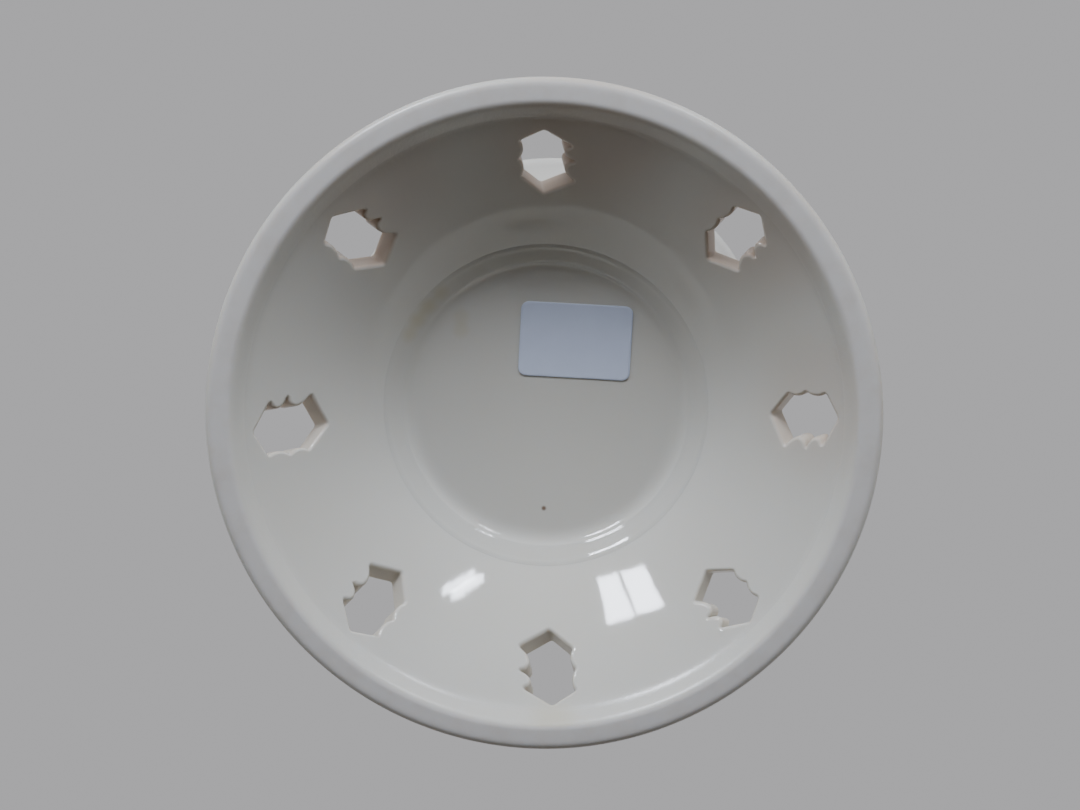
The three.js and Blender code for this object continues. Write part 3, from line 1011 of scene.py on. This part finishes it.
# One iron speck in the bottom of the cup
SPECK = StainAndShadeSpot(-0.7, 18.1, 22.3, 0.6, "speck", 0.85)


def tinted(tree, surface, strength, rgb, share):
    """The surface's colour tinted towards another colour, as strong as strength times share: for thick
    glaze, a stain or painted warm shade.
    """
    amount = add_node(tree, "ShaderNodeMath", {0: strength, 1: share}, operation="MULTIPLY")
    return mixed(tree, amount.outputs["Value"], surface, opaque(rgb))


def with_stain_and_shade_spot(tree, at, surface, stain, colours):
    """The surface's colour with one round spot, a stain or a patch of painted warm shade, which fades to
    nothing at its reach.
    """
    reach = stain.reach * MM
    away = add_node(tree, "ShaderNodeVectorMath", {0: at, 1: Vector(stain[:3]) * MM}, operation="DISTANCE")
    fade = add_node(tree, "ShaderNodeMapRange",
                    {"Value": away.outputs["Value"], "From Min": reach * 0.25, "From Max": reach,
                     "To Min": 1.0, "To Max": 0.0}, interpolation_type="SMOOTHSTEP")
    return tinted(tree, surface, fade.outputs["Result"], getattr(colours, stain.tint), stain.share)


def glazed_porcelain(context):
    """Slip-cast bone-white porcelain under a clear, fired gloss glaze.

    The eye sees an even, neutral white with sharp but slightly wavy reflections, warmer where the
    glaze lies thick in the cuts, and a wiped foot rim that is matt.
    """
    name = "glazed_porcelain"
    if name in bpy.data.materials:
        return bpy.data.materials[name]
    colours = context.scene.votive_colours
    material, tree = new_material(name)
    at = add_node(tree, "ShaderNodeTexCoord").outputs["Object"]
    place = add_node(tree, "ShaderNodeSeparateXYZ", {"Vector": at})

    # Slow drifts of the body's colour, about 25 mm across, as the glaze lies thicker or thinner
    drift = add_node(tree, "ShaderNodeTexNoise", {"Vector": at, "Scale": 1 / (25 * MM), "Detail": 2.0})
    surface = mixed(tree, drift.outputs["Fac"], opaque(colours.porcelain), opaque(colours.porcelain_warm))

    # Thick glaze on the cut walls of the leaves, with blotches of tea stain about 6 mm across on
    # the walls towards -Y
    depth = add_node(tree, "ShaderNodeAttribute", attribute_name="glaze_depth").outputs["Fac"]
    surface = tinted(tree, surface, depth, colours.cut_wall, 1.0)
    side = add_node(tree, "ShaderNodeMapRange", {"Value": place.outputs["Y"], "From Min": 14 * MM,
                                                 "From Max": -14 * MM, "To Max": 1.6})
    blotch = add_node(tree, "ShaderNodeTexNoise", {"Vector": at, "Scale": 1 / (6 * MM), "Detail": 2.0})
    crept = add_node(tree, "ShaderNodeMath", {0: side.outputs["Result"], 1: blotch.outputs["Fac"]},
                     operation="MULTIPLY")
    in_cuts = add_node(tree, "ShaderNodeMath", {0: crept.outputs["Value"], 1: depth}, operation="MULTIPLY")
    surface = tinted(tree, surface, in_cuts.outputs["Value"], colours.tea_stain_and_warm_shade, 0.5)
    # Real stains, patches of painted warm shade inside the foot rim, and the iron speck
    for stain in (*YELLOWED, *PAINTED_WARM_SHADE, SPECK):
        surface = with_stain_and_shade_spot(tree, at, surface, stain, colours)

    # The foot rim's flat is wiped bare before firing, and shelf dirt has rubbed into it in
    # patches of about 5 mm
    bare = add_node(tree, "ShaderNodeMapRange", {"Value": place.outputs["Z"], "From Min": 0.05 * MM,
                                                 "From Max": 0.3 * MM, "To Min": 1.0, "To Max": 0.0})
    rub = add_node(tree, "ShaderNodeTexNoise",
                   {"Vector": at, "Scale": 1 / (5 * MM), "Detail": 5.0, "Roughness": 0.6})
    rubbed = add_node(tree, "ShaderNodeMapRange",
                      {"Value": rub.outputs["Fac"], "From Min": 0.45, "From Max": 0.75, "To Max": 0.3})
    foot = mixed(tree, rubbed.outputs["Result"], opaque(colours.bare_foot), opaque(colours.foot_dirt))
    surface = mixed(tree, bare.outputs["Result"], surface, foot)

    # Gloss glaze is almost mirror smooth and the bare foot has a silky burnish. The edge between
    # them is dulled by the sponge, which has left grains of glaze about 0.6 mm across
    gloss = add_node(tree, "ShaderNodeMapRange",
                     {"Value": bare.outputs["Result"], "To Min": 0.055, "To Max": 0.42})
    sponged = add_node(tree, "ShaderNodeMapRange", {"Value": place.outputs["Z"], "From Min": 2.2 * MM,
                                                    "From Max": 4.2 * MM, "To Min": 1.0, "To Max": 0.0})
    dulled = add_node(tree, "ShaderNodeMath", {0: sponged.outputs["Result"], 1: 0.3}, operation="MULTIPLY")
    roughness = add_node(tree, "ShaderNodeMath", {0: gloss.outputs["Result"], 1: dulled.outputs["Value"]},
                         operation="MAXIMUM")
    on_edge = add_node(tree, "ShaderNodeMath", {0: sponged.outputs["Result"], 1: bare.outputs["Result"]},
                       operation="SUBTRACT", use_clamp=True)
    grain = add_node(tree, "ShaderNodeTexNoise", {"Vector": at, "Scale": 1 / (0.6 * MM), "Detail": 2.0})

    # The glaze lies in waves about 9 mm long, under a fine orange peel of less than 1 mm
    waves = add_node(tree, "ShaderNodeTexNoise",
                     {"Vector": at, "Scale": 1 / (9 * MM), "Detail": 1.5, "Roughness": 0.35})
    peel = add_node(tree, "ShaderNodeTexNoise", {"Vector": at, "Scale": 1 / (0.7 * MM), "Detail": 1.0})
    wavy = add_node(tree, "ShaderNodeBump", {"Height": waves.outputs["Fac"], "Distance": 0.06 * MM})
    peeled = add_node(tree, "ShaderNodeBump", {"Height": peel.outputs["Fac"], "Distance": 0.0022 * MM,
                                               "Normal": wavy.outputs["Normal"]})
    grained = add_node(tree, "ShaderNodeBump", {"Height": grain.outputs["Fac"], "Distance": 0.035 * MM,
                                                "Strength": on_edge.outputs["Value"],
                                                "Normal": peeled.outputs["Normal"]})
    set_surface(tree, {
        "Base Color": surface,
        "Roughness": roughness.outputs["Value"],
        "Normal": grained.outputs["Normal"],
        "IOR": 1.52,
        "Subsurface Weight": 0.25,
        "Subsurface Radius": (1.6 * MM, 1.3 * MM, 1.0 * MM),
        "Subsurface Scale": 1.0,
    })
    return material


def sticker_paper(context):
    """Calendered white paper, die-cut: matt, faintly blue from its brightener, with short fibres."""
    rgb = context.scene.votive_colours.paper
    material, tree = new_material("sticker_paper")
    at = add_node(tree, "ShaderNodeTexCoord").outputs["Object"]
    # Fibres are about 0.02 mm thick and are drawn 0.15 mm wide so that they show
    stretched = add_node(tree, "ShaderNodeMapping", {"Vector": at, "Scale": (1.0, 0.35, 1.0)})
    fibres = add_node(tree, "ShaderNodeTexNoise", {"Vector": stretched.outputs["Vector"],
                                                   "Scale": 1 / (0.15 * MM), "Detail": 3.0})
    # Clouds of about 3 mm, where the pulp lies thinner
    cloud = add_node(tree, "ShaderNodeTexNoise", {"Vector": at, "Scale": 1 / (3 * MM), "Detail": 3.0})
    greyer = tuple(channel * 0.94 for channel in rgb)
    bump = add_node(tree, "ShaderNodeBump", {"Height": fibres.outputs["Fac"], "Distance": 0.008 * MM})
    set_surface(tree, {
        "Base Color": mixed(tree, cloud.outputs["Fac"], opaque(greyer), opaque(rgb)),
        "Normal": bump.outputs["Normal"],
        "Roughness": 0.72,
        "IOR": 1.45,
    })
    return material


def poured_paraffin(context):
    """Paraffin wax poured in a mould: milky and satin, mottled where it set, lit from within."""
    colours = context.scene.votive_colours
    material, tree = new_material("poured_paraffin")
    at = add_node(tree, "ShaderNodeTexCoord").outputs["Object"]
    # Mottles of about 5 mm from slow setting, and pits of 0.4 mm from trapped air
    mottle = add_node(tree, "ShaderNodeTexNoise",
                      {"Vector": at, "Scale": 1 / (5 * MM), "Detail": 4.0, "Roughness": 0.6})
    pits = add_node(tree, "ShaderNodeTexVoronoi", {"Vector": at, "Scale": 1 / (2.4 * MM)})
    pitted = add_node(tree, "ShaderNodeMapRange",
                      {"Value": pits.outputs["Distance"], "From Min": 0.04, "From Max": 0.14})
    frost = add_node(tree, "ShaderNodeMapRange", {"Value": mottle.outputs["Fac"], "From Min": 0.3,
                                                  "From Max": 0.7, "To Min": 0.32, "To Max": 0.5})
    dented = add_node(tree, "ShaderNodeBump", {"Height": pitted.outputs["Result"], "Distance": 0.02 * MM})
    rippled = add_node(tree, "ShaderNodeBump", {"Height": mottle.outputs["Fac"], "Distance": 0.06 * MM,
                                                "Normal": dented.outputs["Normal"]})
    set_surface(tree, {
        "Base Color": mixed(tree, mottle.outputs["Fac"], opaque(colours.wax_deep), opaque(colours.wax)),
        "Roughness": frost.outputs["Result"],
        "Normal": rippled.outputs["Normal"],
        "IOR": 1.44,
        "Subsurface Weight": 0.5,
        "Subsurface Radius": (4.0 * MM, 3.0 * MM, 2.0 * MM),
        "Subsurface Scale": 1.0,
    })
    return material


def waxed_cotton(context):
    """Braided cotton primed with wax: off-white plies with painted shade between them as darker streaks,
    and a dull sheen.
    """
    colours = context.scene.votive_colours
    material, tree = new_material("waxed_cotton")
    at = add_node(tree, "ShaderNodeTexCoord").outputs["Object"]
    # Yarn about 0.25 mm thick runs up the wick
    yarn = add_node(tree, "ShaderNodeMapping", {"Vector": at, "Scale": (1.0, 1.0, 0.3)})
    strands = add_node(tree, "ShaderNodeTexNoise", {"Vector": yarn.outputs["Vector"],
                                                    "Scale": 1 / (0.25 * MM), "Detail": 3.0})
    fuzz = add_node(tree, "ShaderNodeBump", {"Height": strands.outputs["Fac"], "Distance": 0.04 * MM})
    # The darker colour, laid as streaks of noise up the wick, paints shade between the plies
    set_surface(tree, {
        "Base Color": mixed(tree, strands.outputs["Fac"], opaque(colours.cotton_painted_shade),
                            opaque(colours.cotton)),
        "Normal": fuzz.outputs["Normal"],
        "Roughness": 0.65,
        "IOR": 1.5,
        "Sheen Weight": 0.2,
    })
    return material


def tinned_steel(context):
    """Steel sheet hot-dipped in tin and stamped: bright, softly spangled, with fine rolling lines."""
    rgb = context.scene.votive_colours.tin
    material, tree = new_material("tinned_steel")
    at = add_node(tree, "ShaderNodeTexCoord").outputs["Object"]
    # Spangles about 2 mm across, and rolling lines 0.1 mm apart along x
    spangle = add_node(tree, "ShaderNodeTexVoronoi", {"Vector": at, "Scale": 1 / (2 * MM)})
    along = add_node(tree, "ShaderNodeMapping", {"Vector": at, "Scale": (0.03, 1.0, 1.0)})
    rolled = add_node(tree, "ShaderNodeTexNoise", {"Vector": along.outputs["Vector"],
                                                   "Scale": 1 / (0.1 * MM), "Detail": 2.0})
    duller = tuple(channel * 0.85 for channel in rgb)
    polish = add_node(tree, "ShaderNodeMapRange",
                      {"Value": rolled.outputs["Fac"], "To Min": 0.2, "To Max": 0.4})
    lines = add_node(tree, "ShaderNodeBump", {"Height": rolled.outputs["Fac"], "Distance": 0.003 * MM})
    set_surface(tree, {
        "Base Color": mixed(tree, spangle.outputs["Distance"], opaque(rgb), opaque(duller)),
        "Normal": lines.outputs["Normal"],
        "Roughness": polish.outputs["Result"],
        "Metallic": 1.0,
    })
    return material


# Stage

def camera_matrix(sizes):
    """The camera's place and turn, seen from the holder."""
    axis = Vector((math.sin(sizes.yaw), -math.sin(sizes.tilt), 0))
    axis.z = math.sqrt(1 - axis.length_squared)
    right = (Vector((1, 0, 0)) - axis * axis.x).normalized()
    down = axis.cross(right)
    holder = Matrix((right, down, axis)).transposed() @ Matrix.Rotation(sizes.roll, 3, "Z")
    to_holder = holder.transposed()
    base = Vector((sizes.right, sizes.down, sizes.distance))
    turn = to_holder @ Matrix(((1, 0, 0), (0, -1, 0), (0, 0, -1)))
    return Matrix.Translation(to_holder @ -base) @ turn.to_4x4()


SENSOR_WIDTH = 36


def add_camera(context):
    """The photograph's view, from below, on a sensor whose width is in millimetres."""
    sizes = context.scene.votive_camera
    data = bpy.data.cameras.new("photo_camera")
    data.lens = sizes.lens / MM
    data.sensor_width = SENSOR_WIDTH
    data.clip_start = 10 * MM
    camera = bpy.data.objects.new("photo_camera", data)
    camera.matrix_world = camera_matrix(sizes)
    context.scene.collection.objects.link(camera)
    context.scene.camera = camera


# The window panes are there for their reflections only, and the other boxes for their soft light
# only. A pane on one side of the holder is mirrored on the other side of the slope in the picture.
# Distance and size are in metres, turn is in degrees and power in watts
Softbox = namedtuple("Softbox", "name direction distance width height turn power lights mirrors")
SOFTBOXES = (
    Softbox("left_pane_outer", (-0.497, -0.760, -0.42), 0.7, 0.088, 0.105, 0, 1.95, False, True),
    Softbox("left_pane_inner", (-0.373, -0.827, -0.42), 0.7, 0.088, 0.105, 0, 1.95, False, True),
    Softbox("right_pane_inner", (0.391, -0.819, -0.42), 0.7, 0.027, 0.105, 56, 0.52, False, True),
    Softbox("right_pane_outer", (0.437, -0.796, -0.42), 0.7, 0.027, 0.105, 56, 0.52, False, True),
    Softbox("window_fill", (0.0, -0.88, -0.47), 0.9, 0.80, 0.30, 0, 9.4, True, False),
    Softbox("front_fill", (0.0, -0.743, -0.669), 0.9, 0.80, 0.20, 0, 2.4, True, False),
    Softbox("left_fill", (-0.85, -0.30, -0.40), 0.9, 0.30, 0.20, 0, 1.1, True, False),
    Softbox("right_fill", (0.85, -0.30, -0.40), 0.9, 0.30, 0.20, 0, 0.9, True, False),
    Softbox("overhead", (0.0, 0.10, 1.0), 0.9, 0.50, 0.50, 0, 10.0, True, False),
)
DAYLIGHT = (0.84, 0.885, 1.0)
DIM_ROOM = (0.01, 0.01, 0.01)
WARM_GLOW = (0.045, 0.031, 0.018)
PALE_ROOM = (0.46, 0.457, 0.47)


def add_softbox(context, box):
    """A rectangular light that faces the middle of the holder."""
    data = bpy.data.lights.new(box.name, "AREA")
    data.shape = "RECTANGLE"
    data.size = box.width
    data.size_y = box.height
    data.energy = box.power
    data.color = DAYLIGHT
    lamp = bpy.data.objects.new(box.name, data)
    way = Vector(box.direction).normalized()
    lamp.location = Vector((0, 0, CUP_HIGH.z / 2)) + way * box.distance
    faced = way.to_track_quat("Z", "Y").to_matrix()
    lamp.rotation_euler = (faced @ Matrix.Rotation(math.radians(box.turn), 3, "Z")).to_euler()
    lamp.visible_diffuse = box.lights
    lamp.visible_glossy = box.mirrors
    context.scene.collection.objects.link(lamp)


def add_world(context):
    """A pale room above, and below it a dim one with a warm glow on the side away from the windows."""
    world = bpy.data.worlds.new("studio_room")
    world.use_nodes = True
    tree = world.node_tree
    tree.nodes.clear()
    at = add_node(tree, "ShaderNodeTexCoord").outputs["Generated"]
    way = add_node(tree, "ShaderNodeSeparateXYZ", {"Vector": at})
    away = add_node(tree, "ShaderNodeMapRange",
                    {"Value": way.outputs["Y"], "From Min": -0.2, "From Max": 0.7})
    above = add_node(tree, "ShaderNodeMapRange",
                     {"Value": way.outputs["Z"], "From Min": -0.35, "From Max": 0.1})
    below = mixed(tree, away.outputs["Result"], opaque(DIM_ROOM), opaque(WARM_GLOW))
    room = mixed(tree, above.outputs["Result"], below, opaque(PALE_ROOM))
    background = add_node(tree, "ShaderNodeBackground", {"Color": room})
    add_node(tree, "ShaderNodeOutputWorld", {"Surface": background.outputs["Background"]})
    context.scene.world = world


def add_floor(context):
    """A pale floor that is seen from above and let through from below."""
    side = 1.5
    drop = -0.2 * MM
    mesh = bpy.data.meshes.new("studio_floor")
    mesh.from_pydata([(-side, -side, drop), (side, -side, drop), (side, side, drop), (-side, side, drop)],
                     [], [(0, 1, 2, 3)])
    material, tree = new_material("painted_studio_floor")
    behind = add_node(tree, "ShaderNodeNewGeometry").outputs["Backfacing"]
    paint = add_node(tree, "ShaderNodeBsdfPrincipled",
                     {"Base Color": opaque(context.scene.votive_colours.floor), "Roughness": 0.6})
    clear = add_node(tree, "ShaderNodeBsdfTransparent")
    either = add_node(tree, "ShaderNodeMixShader",
                      {0: behind, 1: paint.outputs["BSDF"], 2: clear.outputs["BSDF"]})
    add_node(tree, "ShaderNodeOutputMaterial", {"Surface": either.outputs["Shader"]})
    mesh.materials.append(material)
    floor = bpy.data.objects.new("studio_floor", mesh)
    floor.visible_shadow = False
    floor.visible_diffuse = False
    floor.visible_glossy = False
    context.scene.collection.objects.link(floor)


# Operators

class VOTIVE_OT_skirt(bpy.types.Operator):
    """Builds the pierced skirt"""
    bl_idname = "votive.skirt"
    bl_label = "Pierced skirt"
    bl_options = {"REGISTER", "UNDO"}

    def execute(self, context):
        build_skirt(context)
        return {"FINISHED"}


class VOTIVE_OT_cup(bpy.types.Operator):
    """Builds the candle cup"""
    bl_idname = "votive.cup"
    bl_label = "Candle cup"
    bl_options = {"REGISTER", "UNDO"}

    def execute(self, context):
        build_cup(context)
        return {"FINISHED"}


class VOTIVE_OT_seam(bpy.types.Operator):
    """Builds the slip seam between skirt and cup"""
    bl_idname = "votive.seam"
    bl_label = "Slip seam"
    bl_options = {"REGISTER", "UNDO"}

    def execute(self, context):
        build_seam(context)
        return {"FINISHED"}


class VOTIVE_OT_label(bpy.types.Operator):
    """Builds the bare price label"""
    bl_idname = "votive.label"
    bl_label = "Price label"
    bl_options = {"REGISTER", "UNDO"}

    def execute(self, context):
        build_label(context)
        return {"FINISHED"}


class VOTIVE_OT_candle(bpy.types.Operator):
    """Builds the candle: its wax, its wick and its sustainer"""
    bl_idname = "votive.candle"
    bl_label = "Candle"
    bl_options = {"REGISTER", "UNDO"}

    def execute(self, context):
        build_wax(context)
        build_wick(context)
        build_sustainer(context)
        return {"FINISHED"}


class VOTIVE_OT_stage(bpy.types.Operator):
    """Sets the floor, the lights and the camera"""
    bl_idname = "votive.stage"
    bl_label = "Stage"
    bl_options = {"REGISTER", "UNDO"}

    def execute(self, context):
        add_camera(context)
        add_world(context)
        add_floor(context)
        for box in SOFTBOXES:
            add_softbox(context, box)
        return {"FINISHED"}


class VOTIVE_PT_panel(bpy.types.Panel):
    """Lists the holder's pieces in the sidebar"""
    bl_idname = "VOTIVE_PT_panel"
    bl_label = "Votive holder"
    bl_space_type = "VIEW_3D"
    bl_region_type = "UI"
    bl_category = "Votive"

    def draw(self, context):
        for operator in OPERATORS:
            self.layout.operator(operator.bl_idname)
        for name, group in SETTINGS.items():
            box = self.layout.box()
            box.label(text=group.__doc__)
            for entry in group.__annotations__:
                box.prop(getattr(context.scene, name), entry)


OPERATORS = (VOTIVE_OT_skirt, VOTIVE_OT_cup, VOTIVE_OT_seam, VOTIVE_OT_label, VOTIVE_OT_candle,
             VOTIVE_OT_stage)


def register():
    """Registers the settings, the operators and the panel."""
    for name, group in SETTINGS.items():
        bpy.utils.register_class(group)
        setattr(bpy.types.Scene, name, PointerProperty(type=group))
    for operator in OPERATORS:
        bpy.utils.register_class(operator)
    bpy.utils.register_class(VOTIVE_PT_panel)


def unregister():
    """Takes them away again."""
    bpy.utils.unregister_class(VOTIVE_PT_panel)
    for operator in reversed(OPERATORS):
        bpy.utils.unregister_class(operator)
    for name, group in reversed(SETTINGS.items()):
        delattr(bpy.types.Scene, name)
        bpy.utils.unregister_class(group)


def main():
    """Builds the holder and its stage."""
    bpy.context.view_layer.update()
    register()
    for operator in OPERATORS:
        section, name = operator.bl_idname.split(".")
        getattr(getattr(bpy.ops, section), name)()


if __name__ == "__main__":
    main()
